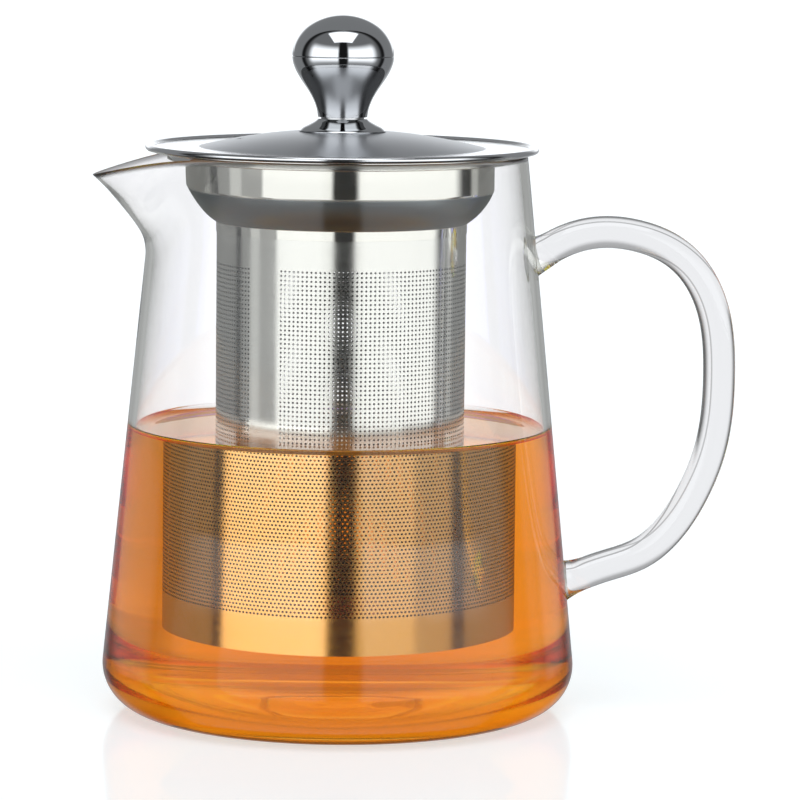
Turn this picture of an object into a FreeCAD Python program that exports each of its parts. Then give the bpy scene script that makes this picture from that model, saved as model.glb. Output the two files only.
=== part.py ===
import FreeCAD, Part
import math
import os
import Sketcher
from FreeCAD import Vector, Placement, Rotation

# Glass teapot with a lift-out infuser and a lid.
# Millimetres, +Z up, origin on the pot's axis in the plane of the foot,
# spout towards -X, handle towards +X.

doc = FreeCAD.newDocument("GlassTeapot")

# ---------------------------------------------------------------- dimensions
sheet = doc.addObject("Spreadsheet::Sheet", "Dims")
SIZES = [
    # glass body
    ("rim_height", 135.6), ("base_radius", 57.5), ("corner_radius", 11.1),
    ("wall_taper", 0.1025), ("glass_wall", 2.0), ("floor_top", 4.4),
    ("inner_corner", 9.0), ("foot_inner", 38.0), ("punt_depth", 1.2),
    # spout
    ("spout_root_x", 42.0), ("spout_root_half", 18.0), ("spout_root_low", 106.6),
    ("spout_tip_x", 61.0), ("spout_tip_half", 5.0), ("spout_tip_low", 129.3),
    ("spout_wall", 1.9), ("spout_drop", 3.0), ("lip_tip_z", 129.9), ("lip_root_x", 46.6),
    ("spout_top", 146.0),
    # handle
    ("rod_radius", 3.9), ("handle_reach", 92.1), ("handle_top", 117.0),
    ("upper_weld_z", 111.4), ("upper_weld_half", 8.0), ("lower_weld_z", 32.2),
    ("lower_weld_half", 7.4), ("weld_width", 5.6), ("weld_length", 10.0),
    # infuser
    ("steel_sheet", 0.6), ("flange_radius", 45.6), ("ring_radius", 42.2),
    ("ledge_z", 133.9), ("collar_radius", 36.8), ("shoulder_top", 127.0),
    ("shoulder_low", 119.2), ("shoulder_round", 16.0), ("neck_low", 116.6),
    ("sleeve_radius", 30.2), ("mesh_sheet", 0.4), ("sleeve_top", 119.0),
    ("sleeve_low", 18.4), ("base_wall", 5.6), ("base_sheet", 0.5),
    # lid cover
    ("lid_sheet", 0.7), ("lid_radius", 47.45), ("bead_radius", 0.75),
    ("dome_radius", 34.5), ("dome_round", 143.8),
    ("seat_radius", 10.8), ("bolt_hole", 2.1),
    ("vent_x", 24.5), ("vent_y", 3.0), ("vent_radius", 1.0),
    # lid skirt
    ("skirt_radius", 35.8), ("skirt_sheet", 0.6), ("skirt_leg", 40.6), ("skirt_depth", 7.6),
    # knob
    ("knob_foot_radius", 10.46), ("knob_foot_height", 3.15), ("foot_edge", 0.4),
    ("foot_neck", 6.0), ("foot_round", 4.2), ("neck_gap", 0.4), ("gap_radius", 5.2),
    ("knob_shell", 0.6), ("neck_radius", 6.2), ("neck_length", 1.0), ("waist_round", 6.09),
    ("waist_r", 8.207),
    ("knob_radius", 12.24), ("seam_z", 14.6), ("shoulder_arc", 8.84),
    ("crown_r", 8.43), ("crown_round", 14.82), ("knob_height", 24.5),
    ("boss_radius", 5.6), ("boss_core", 4.6), ("boss_height", 10.0), ("boss_depth", 8.6),
    # fastener
    ("screw_radius", 2.0), ("head_radius", 4.0), ("head_height", 2.4),
    ("slot_width", 1.1), ("slot_depth", 1.1), ("washer_radius", 6.5), ("washer_sheet", 0.8),
]
VALUE = {}
for row, (alias, size) in enumerate(SIZES, start=1):
    sheet.set("A%d" % row, alias)
    sheet.set("B%d" % row, str(size))
    sheet.setAlias("B%d" % row, alias)
    VALUE[alias] = size
doc.recompute()


class Dim:
    """A size with its value and the sheet formula that gives it."""

    def __init__(self, value, text):
        self.value = float(value)
        self.text = text

    @staticmethod
    def of(x):
        return x if isinstance(x, Dim) else Dim(x, repr(float(x)))

    def join(self, other, value, sign):
        return Dim(value, "(%s %s %s)" % (self.text, sign, other.text))

    def __add__(self, o):
        o = Dim.of(o)
        return self.join(o, self.value + o.value, "+")

    def __radd__(self, o):
        return Dim.of(o) + self

    def __sub__(self, o):
        o = Dim.of(o)
        return self.join(o, self.value - o.value, "-")

    def __rsub__(self, o):
        return Dim.of(o) - self

    def __mul__(self, o):
        o = Dim.of(o)
        return self.join(o, self.value * o.value, "*")

    def __rmul__(self, o):
        return Dim.of(o) * self

    def __truediv__(self, o):
        o = Dim.of(o)
        return self.join(o, self.value / o.value, "/")

    def __rtruediv__(self, o):
        return Dim.of(o) / self


def root(d):
    return Dim(math.sqrt(d.value), "sqrt(%s)" % d.text)


def d(alias):
    return Dim(VALUE[alias], "Dims." + alias)


ZERO = Dim(0, "0")


def plane(body, role):
    return [f for f in body.Origin.OriginFeatures if f.Role == role][0]


def new_body(label):
    body = doc.addObject("PartDesign::Body", label)
    body.Label = label
    return body


def new_sketch(body, name, role="XZ_Plane"):
    sk = body.newObject("Sketcher::SketchObject", name)
    sk.AttachmentSupport = [(plane(body, role), "")]
    sk.MapMode = "FlatFace"
    return sk


def bind(sk, con, text):
    n = sk.addConstraint(con)
    sk.setExpression("Constraints[%d]" % n, text)


def pin(sk, geo, pos, point):
    """Fix one vertex of a sketch by sheet formulas for both coordinates."""
    for kind, axis, c in (("DistanceX", -2, point[0]), ("DistanceY", -1, point[1])):
        if c is ZERO:
            sk.addConstraint(Sketcher.Constraint("PointOnObject", geo, pos, axis))
        else:
            bind(sk, Sketcher.Constraint(kind, -1, 1, geo, pos, c.value), c.text)


def outline(sk, start, steps):
    """Closed outline: ("line", point) or ("arc", point, radius, turn, large).

    turn is +1 for an arc that runs anticlockwise from the last point."""
    at = start
    ends = []
    for step in steps:
        p = (at[0].value, at[1].value)
        to = step[1]
        q = (to[0].value, to[1].value)
        if step[0] == "line":
            geo = sk.addGeometry(Part.LineSegment(Vector(p[0], p[1], 0), Vector(q[0], q[1], 0)))
            ends.append((geo, 1, 2, to, at))
        else:
            radius, turn = step[2], step[3]
            large = len(step) > 4 and step[4]
            mx, my = (p[0] + q[0]) / 2, (p[1] + q[1]) / 2
            dx, dy = q[0] - p[0], q[1] - p[1]
            gap = math.hypot(dx, dy)
            up = math.sqrt(max(radius.value ** 2 - gap * gap / 4, 0.0))
            side = turn * (-1 if large else 1)
            cx, cy = mx - side * dy / gap * up, my + side * dx / gap * up
            a0 = math.atan2(p[1] - cy, p[0] - cx)
            a1 = math.atan2(q[1] - cy, q[0] - cx)
            if turn < 0:
                a0, a1 = a1, a0
            if a1 < a0:
                a1 += 2 * math.pi
            circle = Part.Circle(Vector(cx, cy, 0), Vector(0, 0, 1), radius.value)
            geo = sk.addGeometry(Part.ArcOfCircle(circle, a0, a1))
            first, last = (1, 2) if turn > 0 else (2, 1)
            ends.append((geo, first, last, to, at))
            bind(sk, Sketcher.Constraint("Radius", geo, radius.value), radius.text)
        at = to
    for i, (geo, first, last, to, _) in enumerate(ends):
        nxt = ends[(i + 1) % len(ends)]
        sk.addConstraint(Sketcher.Constraint("Coincident", geo, last, nxt[0], nxt[1]))
    for geo, first, last, to, frm in ends:
        pin(sk, geo, first, frm)


def revolve(body, sk, kind="PartDesign::Revolution", name="Turn"):
    r = body.newObject(kind, name)
    r.Profile = sk
    r.ReferenceAxis = (sk, ["V_Axis"])
    r.Angle = 360
    sk.Visibility = False
    return r


def turned(label, start, steps):
    body = new_body(label)
    sk = new_sketch(body, label + "_section")
    outline(sk, start, steps)
    revolve(body, sk, name=label + "_turn")
    return body


# ---------------------------------------------------------------- glass body
rim = d("rim_height")
taper = d("wall_taper")
slant = root(1 + taper * taper)
cosw = 1 / slant
sinw = taper / slant
corner = d("corner_radius")
foot_outer = d("base_radius") - corner
wall_r = foot_outer + corner * cosw
wall_z = corner + corner * sinw
mouth_outer = wall_r - (rim - wall_z) * taper
step_in = d("glass_wall") * slant
floor = d("floor_top")
incorner = d("inner_corner")
in_z = floor + incorner + incorner * sinw
in_r = wall_r - (in_z - wall_z) * taper - step_in
floor_r = in_r - incorner * cosw
mouth_inner = mouth_outer - step_in
over = Dim(16.0, "16")
top_r = wall_r - (rim + over - wall_z) * taper

glass = new_body("glass_body")
sk = new_sketch(glass, "glass_outer_section")
outline(sk, (ZERO, d("punt_depth")), [
    ("line", (d("foot_inner"), ZERO)),
    ("line", (foot_outer, ZERO)),
    ("arc", (wall_r, wall_z), corner, 1),
    ("line", (top_r, rim + over)),
    ("line", (ZERO, rim + over)),
    ("line", (ZERO, d("punt_depth"))),
])
revolve(glass, sk, name="glass_blank")


def trough(body, name, x, half, low):
    """U-shaped section across the spout at X = -x."""
    s = new_sketch(body, name, "YZ_Plane")
    s.AttachmentOffset = Placement(Vector(0, 0, -x.value), Rotation())
    s.setExpression("AttachmentOffset.Base.z", "-(%s)" % x.text)
    top = d("spout_top")
    outline(s, (0 - half, top), [
        ("line", (0 - half, low + half * 0.7101)),
        ("arc", (half, low + half * 0.7101), half * 1.06, 1),
        ("line", (half, top)),
        ("line", (0 - half, top)),
    ])
    s.Visibility = False
    return s


def loft(body, kind, name, first, last):
    f = body.newObject(kind, name)
    f.Profile = first
    f.Sections = [last]
    f.Ruled = True
    return f


loft(glass, "PartDesign::AdditiveLoft", "spout_blank",
     trough(glass, "spout_root_outer", d("spout_root_x"), d("spout_root_half"), d("spout_root_low")),
     trough(glass, "spout_tip_outer", d("spout_tip_x"), d("spout_tip_half"), d("spout_tip_low")))

sk = new_sketch(glass, "glass_inner_section")
outline(sk, (ZERO, floor), [
    ("line", (floor_r, floor)),
    ("arc", (in_r, in_z), incorner, 1),
    ("line", (top_r - step_in, rim + over)),
    ("line", (top_r - step_in, rim + over + 6)),
    ("line", (ZERO, rim + over + 6)),
    ("line", (ZERO, floor)),
])
revolve(glass, sk, "PartDesign::Groove", "glass_hollow")

sw = d("spout_wall")
loft(glass, "PartDesign::SubtractiveLoft", "spout_channel",
     trough(glass, "spout_root_inner", d("spout_root_x") - 4, d("spout_root_half") - sw,
            d("spout_root_low") + d("spout_drop") - 4 * ((d("spout_tip_low") - d("spout_root_low")) / (d("spout_tip_x") - d("spout_root_x")))),
     trough(glass, "spout_tip_inner", d("spout_tip_x"), d("spout_tip_half") - sw, d("spout_tip_low") + d("spout_drop")))

sk = new_sketch(glass, "lip_section")
outline(sk, (0 - d("spout_tip_x") - 9, d("lip_tip_z") - 1), [
    ("line", (0 - d("spout_tip_x"), d("lip_tip_z"))),
    ("arc", (0 - d("lip_root_x"), rim), Dim(34.0, "34"), 1),
    ("line", (d("base_radius") + 8, rim)),
    ("line", (d("base_radius") + 8, rim + over + 12)),
    ("line", (0 - d("spout_tip_x") - 9, rim + over + 12)),
    ("line", (0 - d("spout_tip_x") - 9, d("lip_tip_z") - 1)),
])
cut = glass.newObject("PartDesign::Pocket", "lip_trim")
cut.Profile = sk
cut.Type = 1
cut.Midplane = True
sk.Visibility = False

# ---------------------------------------------------------------- glass handle
handle = new_body("glass_handle")
reach, htop = VALUE["handle_reach"], VALUE["handle_top"]
uz, lz = VALUE["upper_weld_z"], VALUE["lower_weld_z"]
spine_points = [
    (44.0, uz - 2.6), (48.0, uz), (54.5, uz + 3.6), (63.5, htop), (71.5, htop - 0.8), (78.3, htop - 3.2),
    (83.4, htop - 6.8), (87.8, htop - 12.6), (90.9, htop - 21.0), (reach, htop - 34.0),
    (reach - 0.5, htop - 45.4), (reach - 2.5, htop - 55.2), (reach - 5.6, htop - 63.0),
    (reach - 11.2, htop - 72.2), (reach - 18.4, htop - 78.6), (64.0, lz + 2.6), (57.0, lz),
    (50.0, lz - 2.2),
]
spine = new_sketch(handle, "rod_path")
curve = Part.BSplineCurve()
curve.interpolate([Vector(x, z, 0) for x, z in spine_points])
spine.addGeometry(curve)
spine.Visibility = False
doc.recompute()
ring = handle.newObject("Sketcher::SketchObject", "rod_section")
ring.AttachmentSupport = [(spine, "Edge1")]
ring.MapMode = "NormalToEdge"
ring.MapPathParameter = 0.0
ring.addGeometry(Part.Circle(Vector(0, 0, 0), Vector(0, 0, 1), VALUE["rod_radius"]))
ring.addConstraint(Sketcher.Constraint("Coincident", 0, 3, -1, 1))
bind(ring, Sketcher.Constraint("Radius", 0, VALUE["rod_radius"]), "Dims.rod_radius")
ring.Visibility = False
rod = handle.newObject("PartDesign::AdditivePipe", "rod")
rod.Profile = ring
rod.Spine = (spine, ["Edge1"])


def weld(name, x, z, half, rise, far_half):
    """Flared end of the rod where it joins the wall."""
    sections = []
    for tag, off, lift, major, minor in (
            ("_wall", ZERO, ZERO, half, d("weld_width")),
            ("_rod", d("weld_length") + 4, rise, far_half, d("rod_radius") * 0.96)):
        s = new_sketch(handle, name + tag, "YZ_Plane")
        s.AttachmentOffset = Placement(Vector(0, 0, (x + off).value), Rotation())
        s.setExpression("AttachmentOffset.Base.z", (x + off).text)
        zc = z + lift
        e = Part.Ellipse(Vector(0, zc.value, 0), major.value, minor.value)
        e = Part.Ellipse(Vector(0, zc.value + major.value, 0), Vector(minor.value, zc.value, 0), Vector(0, zc.value, 0))
        s.addGeometry(e)
        s.Visibility = False
        sections.append(s)
    return loft(handle, "PartDesign::AdditiveLoft", name, sections[0], sections[1])


weld("upper_weld", d("base_radius") - 11.5, d("upper_weld_z") - 0.4, d("upper_weld_half"), Dim(4.9, "4.9"), d("rod_radius") * 1.02)
weld("lower_weld", d("base_radius") - 4.0, d("lower_weld_z") - 0.4, d("lower_weld_half"), Dim(4.0, "4"), d("rod_radius") * 1.04)

sk = new_sketch(handle, "wall_section")
outline(sk, (ZERO, ZERO), [
    ("line", (wall_r, ZERO)),
    ("line", (wall_r, wall_z)),
    ("line", (top_r, rim + over)),
    ("line", (ZERO, rim + over)),
    ("line", (ZERO, ZERO)),
])
revolve(handle, sk, "PartDesign::Groove", "wall_face")

# ---------------------------------------------------------------- infuser
sheet_t = d("steel_sheet")
ledge = d("ledge_z")
collar_r = d("collar_radius")
sleeve_r = d("sleeve_radius")
turned("infuser_collar", (d("flange_radius"), rim), [
    ("line", (d("flange_radius"), rim + sheet_t)),
    ("line", (d("ring_radius") - sheet_t, rim + sheet_t)),
    ("line", (d("ring_radius") - sheet_t, ledge + sheet_t)),
    ("line", (collar_r - sheet_t, ledge + sheet_t)),
    ("line", (collar_r - sheet_t, d("shoulder_top"))),
    ("arc", (sleeve_r, d("shoulder_low")), d("shoulder_round") - sheet_t, -1),
    ("line", (sleeve_r, d("neck_low"))),
    ("line", (sleeve_r + sheet_t, d("neck_low"))),
    ("line", (sleeve_r + sheet_t, d("shoulder_low"))),
    ("arc", (collar_r, d("shoulder_top")), d("shoulder_round"), 1),
    ("line", (collar_r, ledge)),
    ("line", (d("ring_radius"), ledge)),
    ("line", (d("ring_radius"), rim)),
    ("line", (d("flange_radius"), rim)),
])
mesh_t = d("mesh_sheet")
turned("infuser_sleeve", (sleeve_r, d("sleeve_low")), [
    ("line", (sleeve_r, d("sleeve_top"))),
    ("line", (sleeve_r - mesh_t, d("sleeve_top"))),
    ("line", (sleeve_r - mesh_t, d("sleeve_low"))),
    ("line", (sleeve_r, d("sleeve_low"))),
])
base_r = sleeve_r - mesh_t
base_t = d("base_sheet")
turned("infuser_base", (ZERO, d("sleeve_low")), [
    ("line", (base_r, d("sleeve_low"))),
    ("line", (base_r, d("sleeve_low") + d("base_wall"))),
    ("line", (base_r - base_t, d("sleeve_low") + d("base_wall"))),
    ("line", (base_r - base_t, d("sleeve_low") + base_t)),
    ("line", (ZERO, d("sleeve_low") + base_t)),
    ("line", (ZERO, d("sleeve_low"))),
])

# ---------------------------------------------------------------- lid cover
lid_t = d("lid_sheet")
lid_low = rim + sheet_t
lid_top = lid_low + lid_t
bead = d("bead_radius")
bead_r = d("lid_radius") - bead
bead_z = lid_top - 0.15
top_meet = bead_r - root(bead * bead - 0.0225)
low_meet = bead_r - root(bead * bead - (lid_t - 0.15) * (lid_t - 0.15))
# the dome's two faces are spheres about one centre on the axis
dome = d("dome_round")
dome_base = root(dome * dome - d("dome_radius") * d("dome_radius"))
dome_seat = root(dome * dome - d("seat_radius") * d("seat_radius"))
dome_in = dome - lid_t
seat = lid_top + dome_seat - dome_base
under_base = root(dome_in * dome_in - (dome_base - lid_t) * (dome_base - lid_t))
under_seat = root(dome_in * dome_in - (dome_seat - lid_t) * (dome_seat - lid_t))
cover = turned("lid_cover", (d("bolt_hole"), seat), [
    ("line", (d("bolt_hole"), seat - lid_t)),
    ("line", (under_seat, seat - lid_t)),
    ("arc", (under_base, lid_low), dome_in, -1),
    ("line", (low_meet, lid_low)),
    ("arc", (top_meet, lid_top), bead, 1, True),
    ("line", (d("dome_radius"), lid_top)),
    ("arc", (d("seat_radius"), seat), dome, 1),
    ("line", (d("bolt_hole"), seat)),
])
vent = new_sketch(cover, "vent_section", "XY_Plane")
vent.addGeometry(Part.Circle(Vector(-VALUE["vent_x"], -VALUE["vent_y"], 0), Vector(0, 0, 1), VALUE["vent_radius"]))
bind(vent, Sketcher.Constraint("DistanceX", -1, 1, 0, 3, -VALUE["vent_x"]), "-Dims.vent_x")
bind(vent, Sketcher.Constraint("DistanceY", -1, 1, 0, 3, -VALUE["vent_y"]), "-Dims.vent_y")
bind(vent, Sketcher.Constraint("Radius", 0, VALUE["vent_radius"]), "Dims.vent_radius")
hole = cover.newObject("PartDesign::Pocket", "vent_hole")
hole.Profile = vent
hole.Type = 1
hole.Midplane = True
vent.Visibility = False

# ---------------------------------------------------------------- lid skirt
skirt_t = d("skirt_sheet")
skirt_r = d("skirt_radius")
turned("lid_skirt", (skirt_r - skirt_t, lid_low), [
    ("line", (skirt_r - skirt_t, lid_low - d("skirt_depth"))),
    ("line", (skirt_r, lid_low - d("skirt_depth"))),
    ("line", (skirt_r, lid_low - skirt_t)),
    ("line", (d("skirt_leg"), lid_low - skirt_t)),
    ("line", (d("skirt_leg"), lid_low)),
    ("line", (skirt_r - skirt_t, lid_low)),
])

# ---------------------------------------------------------------- knob
foot_top = seat + d("knob_foot_height")
turned("knob_foot", (d("bolt_hole"), seat), [
    ("line", (d("knob_foot_radius"), seat)),
    ("line", (d("knob_foot_radius"), seat + d("foot_edge"))),
    ("arc", (d("foot_neck"), foot_top), d("foot_round"), -1),
    ("line", (d("bolt_hole"), foot_top)),
    ("line", (d("bolt_hole"), seat)),
])
knob_z = foot_top + d("neck_gap")
shell_t = d("knob_shell")
seam = knob_z + d("seam_z")
# both shells are concentric skins: outer arcs and the same arcs one sheet inside
belly = d("knob_radius")
belly_in = belly - shell_t
drop = root(belly * belly - d("waist_r") * d("waist_r"))
waist = (d("waist_r"), seam - drop)
waist_in = (d("waist_r") * belly_in / belly, seam - drop * belly_in / belly)
peak = knob_z + d("knob_height")
cap = d("crown_round")
cap_in = cap - shell_t
lift = root(cap * cap - d("crown_r") * d("crown_r"))
crown = (d("crown_r"), peak - cap + lift)
crown_in = (d("crown_r") * cap_in / cap, peak - cap + lift * cap_in / cap)
turned("knob_lower_shell", (d("neck_radius") - shell_t, knob_z), [
    ("line", (d("neck_radius"), knob_z)),
    ("line", (d("neck_radius"), knob_z + d("neck_length"))),
    ("arc", waist, d("waist_round"), -1),
    ("arc", (belly, seam), belly, 1),
    ("line", (belly_in, seam)),
    ("arc", waist_in, belly_in, -1),
    ("arc", (d("neck_radius") - shell_t, knob_z + d("neck_length")), d("waist_round") + shell_t, 1),
    ("line", (d("neck_radius") - shell_t, knob_z)),
])
turned("knob_upper_shell", (d("knob_radius") - shell_t, seam), [
    ("line", (d("knob_radius"), seam)),
    ("arc", crown, d("shoulder_arc"), 1),
    ("arc", (ZERO, peak), cap, 1),
    ("line", (ZERO, peak - shell_t)),
    ("arc", crown_in, cap_in, -1),
    ("arc", (d("knob_radius") - shell_t, seam), d("shoulder_arc") - shell_t, -1),
])
turned("knob_boss", (d("screw_radius"), foot_top), [
    ("line", (d("gap_radius"), foot_top)),
    ("line", (d("gap_radius"), knob_z)),
    ("line", (d("boss_radius"), knob_z)),
    ("line", (d("boss_radius"), knob_z + d("neck_length"))),
    ("line", (d("boss_core"), knob_z + d("neck_length"))),
    ("line", (d("boss_core"), knob_z + d("boss_height"))),
    ("line", (ZERO, knob_z + d("boss_height"))),
    ("line", (ZERO, knob_z + d("boss_depth"))),
    ("line", (d("screw_radius"), knob_z + d("boss_depth"))),
    ("line", (d("screw_radius"), foot_top)),
])

# ---------------------------------------------------------------- fastener under the lid
washer_low = seat - lid_t - d("washer_sheet")
turned("lid_washer", (d("bolt_hole"), washer_low), [
    ("line", (d("washer_radius"), washer_low)),
    ("line", (d("washer_radius"), seat - lid_t)),
    ("line", (d("bolt_hole"), seat - lid_t)),
    ("line", (d("bolt_hole"), washer_low)),
])
head_low = washer_low - d("head_height")
screw = turned("lid_screw", (ZERO, head_low), [
    ("line", (d("head_radius") - 0.8, head_low)),
    ("arc", (d("head_radius"), head_low + 0.8), Dim(0.8, "0.8"), 1),
    ("line", (d("head_radius"), washer_low)),
    ("line", (d("screw_radius"), washer_low)),
    ("line", (d("screw_radius"), knob_z + d("boss_depth") - 0.8)),
    ("line", (d("screw_radius") - 0.5, knob_z + d("boss_depth") - 0.3)),
    ("line", (ZERO, knob_z + d("boss_depth") - 0.3)),
    ("line", (ZERO, head_low)),
])
slot = new_sketch(screw, "slot_section")
half = d("slot_width") / 2
outline(slot, (0 - half, head_low - 1), [
    ("line", (half, head_low - 1)),
    ("line", (half, head_low + d("slot_depth"))),
    ("line", (0 - half, head_low + d("slot_depth"))),
    ("line", (0 - half, head_low - 1)),
])
groove = screw.newObject("PartDesign::Pocket", "slot")
groove.Profile = slot
groove.Type = 1
groove.Midplane = True
slot.Visibility = False

doc.recompute()

# ---------------------------------------------------------------- checks and files
bad = []
for obj in doc.Objects:
    state = [s for s in obj.State if s in ("Invalid", "Error")]
    if state:
        bad.append("%s %s" % (obj.Name, state))
bodies = [o for o in doc.Objects if o.TypeId == "PartDesign::Body"]
for body in bodies:
    if body.Shape.isNull() or not body.Shape.isValid() or len(body.Shape.Solids) != 1:
        bad.append("%s shape: %s solids" % (body.Label, len(body.Shape.Solids)))
if bad:
    raise RuntimeError("; ".join(bad))

os.makedirs("parts", exist_ok=True)
for body in bodies:
    body.Shape.exportStep("parts/%s.step" % body.Label)
    box = body.Shape.BoundBox
    print("%-18s vol %10.2f  x %.2f %.2f  y %.2f %.2f  z %.2f %.2f" % (
        body.Label, body.Shape.Volume, box.XMin, box.XMax, box.YMin, box.YMax, box.ZMin, box.ZMax))
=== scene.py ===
import math

import bpy
import bmesh
import numpy as np
from mathutils import Matrix, Vector


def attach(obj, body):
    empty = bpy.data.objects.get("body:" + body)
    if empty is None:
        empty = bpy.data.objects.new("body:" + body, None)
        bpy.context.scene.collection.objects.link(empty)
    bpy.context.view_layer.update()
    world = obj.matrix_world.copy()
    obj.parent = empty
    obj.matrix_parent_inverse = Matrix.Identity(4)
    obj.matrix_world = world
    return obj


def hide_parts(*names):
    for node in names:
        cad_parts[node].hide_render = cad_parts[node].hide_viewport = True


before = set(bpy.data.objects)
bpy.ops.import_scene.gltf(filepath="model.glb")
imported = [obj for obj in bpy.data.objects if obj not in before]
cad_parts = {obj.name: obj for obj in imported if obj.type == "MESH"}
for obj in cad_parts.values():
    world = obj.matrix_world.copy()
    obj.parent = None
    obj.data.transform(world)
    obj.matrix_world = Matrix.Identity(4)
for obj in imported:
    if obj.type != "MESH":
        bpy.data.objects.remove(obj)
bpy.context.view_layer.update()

# Glass teapot with a lift-out infuser and a lid.  Sizes below are millimetres,
# +Z up, spout towards -X, handle towards +X, camera on the -Y side.
MM = 0.001
scene = bpy.context.scene


# ------------------------------------------------------------------ meshes
def add_piece(name, verts, faces, body, nodes=(), slot=None, sharp=35.0, outward=True):
    """A smooth mesh in millimetres that rides on a body and stands for CAD nodes."""
    me = bpy.data.meshes.new(name)
    me.from_pydata((np.asarray(verts, float) * MM).tolist(), [], faces)
    me.update()
    if outward:
        bm = bmesh.new()
        bm.from_mesh(me)
        bmesh.ops.recalc_face_normals(bm, faces=bm.faces)
        bm.to_mesh(me)
        bm.free()
    me.polygons.foreach_set("use_smooth", np.ones(len(me.polygons), bool))
    me.set_sharp_from_angle(angle=math.radians(sharp))
    me.update()
    ob = bpy.data.objects.new(name, me)
    scene.collection.objects.link(ob)
    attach(ob, body)
    if nodes:
        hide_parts(*nodes)
    return ob


def lathe(profile, angles):
    """Vertices and faces of a closed (r, z) profile turned about Z; r = 0 is a pole."""
    verts, rows, n = [], [], len(angles)
    for r, z in profile:
        if r < 1e-6:
            rows.append([len(verts)] * n)
            verts.append((0.0, 0.0, z))
        else:
            rows.append(list(range(len(verts), len(verts) + n)))
            verts.extend((r * math.cos(a), r * math.sin(a), z) for a in angles)
    faces = []
    for i in range(len(rows)):
        a, b = rows[i], rows[(i + 1) % len(rows)]
        if a[0] == a[1] and b[0] == b[1]:
            continue
        for k in range(n):
            m = (k + 1) % n
            if a[0] == a[1]:
                faces.append((a[0], b[m], b[k]))
            elif b[0] == b[1]:
                faces.append((a[k], a[m], b[0]))
            else:
                faces.append((a[k], a[m], b[m], b[k]))
    return verts, faces


def around(n):
    return [2 * math.pi * k / n for k in range(n)]


def arc(cx, cz, radius, a0, a1, n):
    """Points on an arc, angles in degrees from +r towards +z."""
    return [
        (
            cx + radius * math.cos(math.radians(a0 + (a1 - a0) * k / n)),
            cz + radius * math.sin(math.radians(a0 + (a1 - a0) * k / n)),
        )
        for k in range(n + 1)
    ]


def line(p, q, n):
    """Points from p to q, without p."""
    return [
        (p[0] + (q[0] - p[0]) * k / n, p[1] + (q[1] - p[1]) * k / n)
        for k in range(1, n + 1)
    ]


def eased(points, radii, n=5):
    """A closed outline with each corner rounded by its own radius."""
    out = []
    for i, p in enumerate(points):
        p = np.array(p, float)
        a = np.array(points[i - 1], float)
        b = np.array(points[(i + 1) % len(points)], float)
        rad = radii[i]
        u, v = a - p, b - p
        lu, lv = np.linalg.norm(u), np.linalg.norm(v)
        u, v = u / lu, v / lv
        c = float(np.clip(u @ v, -1, 1))
        if rad <= 0 or c < -0.9995:
            out.append(tuple(p))
            continue
        half = math.acos(c) / 2
        t = min(rad / math.tan(half), 0.48 * lu, 0.48 * lv)
        rad = t * math.tan(half)
        mid = p + (u + v) / np.linalg.norm(u + v) * rad / math.sin(half)
        s, e = p + u * t - mid, p + v * t - mid
        turn = math.acos(float(np.clip(s @ e / rad / rad, -1, 1)))
        sign = 1.0 if s[0] * e[1] - s[1] * e[0] > 0 else -1.0
        for k in range(n + 1):
            w = sign * turn * k / n
            out.append(
                (
                    mid[0] + s[0] * math.cos(w) - s[1] * math.sin(w),
                    mid[1] + s[0] * math.sin(w) + s[1] * math.cos(w),
                )
            )
    return out


def smooth(lo, hi, x):
    t = np.clip((np.asarray(x, float) - lo) / (hi - lo), 0, 1)
    return t * t * (3 - 2 * t)


# ------------------------------------------------------------------ materials
def new_material(name):
    m = bpy.data.materials.new(name)
    m.use_nodes = True
    nt = m.node_tree
    nt.nodes.clear()
    out = nt.nodes.new("ShaderNodeOutputMaterial")
    p = nt.nodes.new("ShaderNodeBsdfPrincipled")
    nt.links.new(p.outputs[0], out.inputs["Surface"])
    return m, nt, p, out


def add(nt, kind, **values):
    n = nt.nodes.new("ShaderNode" + kind)
    for k, v in values.items():
        setattr(n, k, v)
    return n


def feed(nt, socket, value):
    """Links an output or sets a constant."""
    if isinstance(value, bpy.types.NodeSocket):
        nt.links.new(value, socket)
    else:
        socket.default_value = value


def math_node(nt, op, a, b=0.0, c=0.0):
    n = add(nt, "Math", operation=op)
    feed(nt, n.inputs[0], a)
    if op not in ("SINE", "COSINE", "ABSOLUTE", "ARCSINE", "SQRT"):
        feed(nt, n.inputs[1], b)
    if op in ("MULTIPLY_ADD", "SMOOTH_MIN", "SMOOTH_MAX"):
        feed(nt, n.inputs[2], c)
    return n.outputs[0]


def ranged(nt, value, lo, hi, to_lo, to_hi, kind="SMOOTHSTEP"):
    n = add(nt, "MapRange", interpolation_type=kind)
    feed(nt, n.inputs["Value"], value)
    n.inputs["From Min"].default_value = lo
    n.inputs["From Max"].default_value = hi
    n.inputs["To Min"].default_value = to_lo
    n.inputs["To Max"].default_value = to_hi
    return n.outputs["Result"]


def noise(nt, vector, scale, detail=2.0, rough=0.5, dims="3D", w=None, distort=0.0):
    n = add(nt, "TexNoise", noise_dimensions=dims)
    nt.links.new(vector, n.inputs["Vector"])
    n.inputs["Scale"].default_value = scale
    n.inputs["Detail"].default_value = detail
    n.inputs["Roughness"].default_value = rough
    n.inputs["Distortion"].default_value = distort
    if w is not None:
        nt.links.new(w, n.inputs["W"])
    return n.outputs[0]


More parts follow.
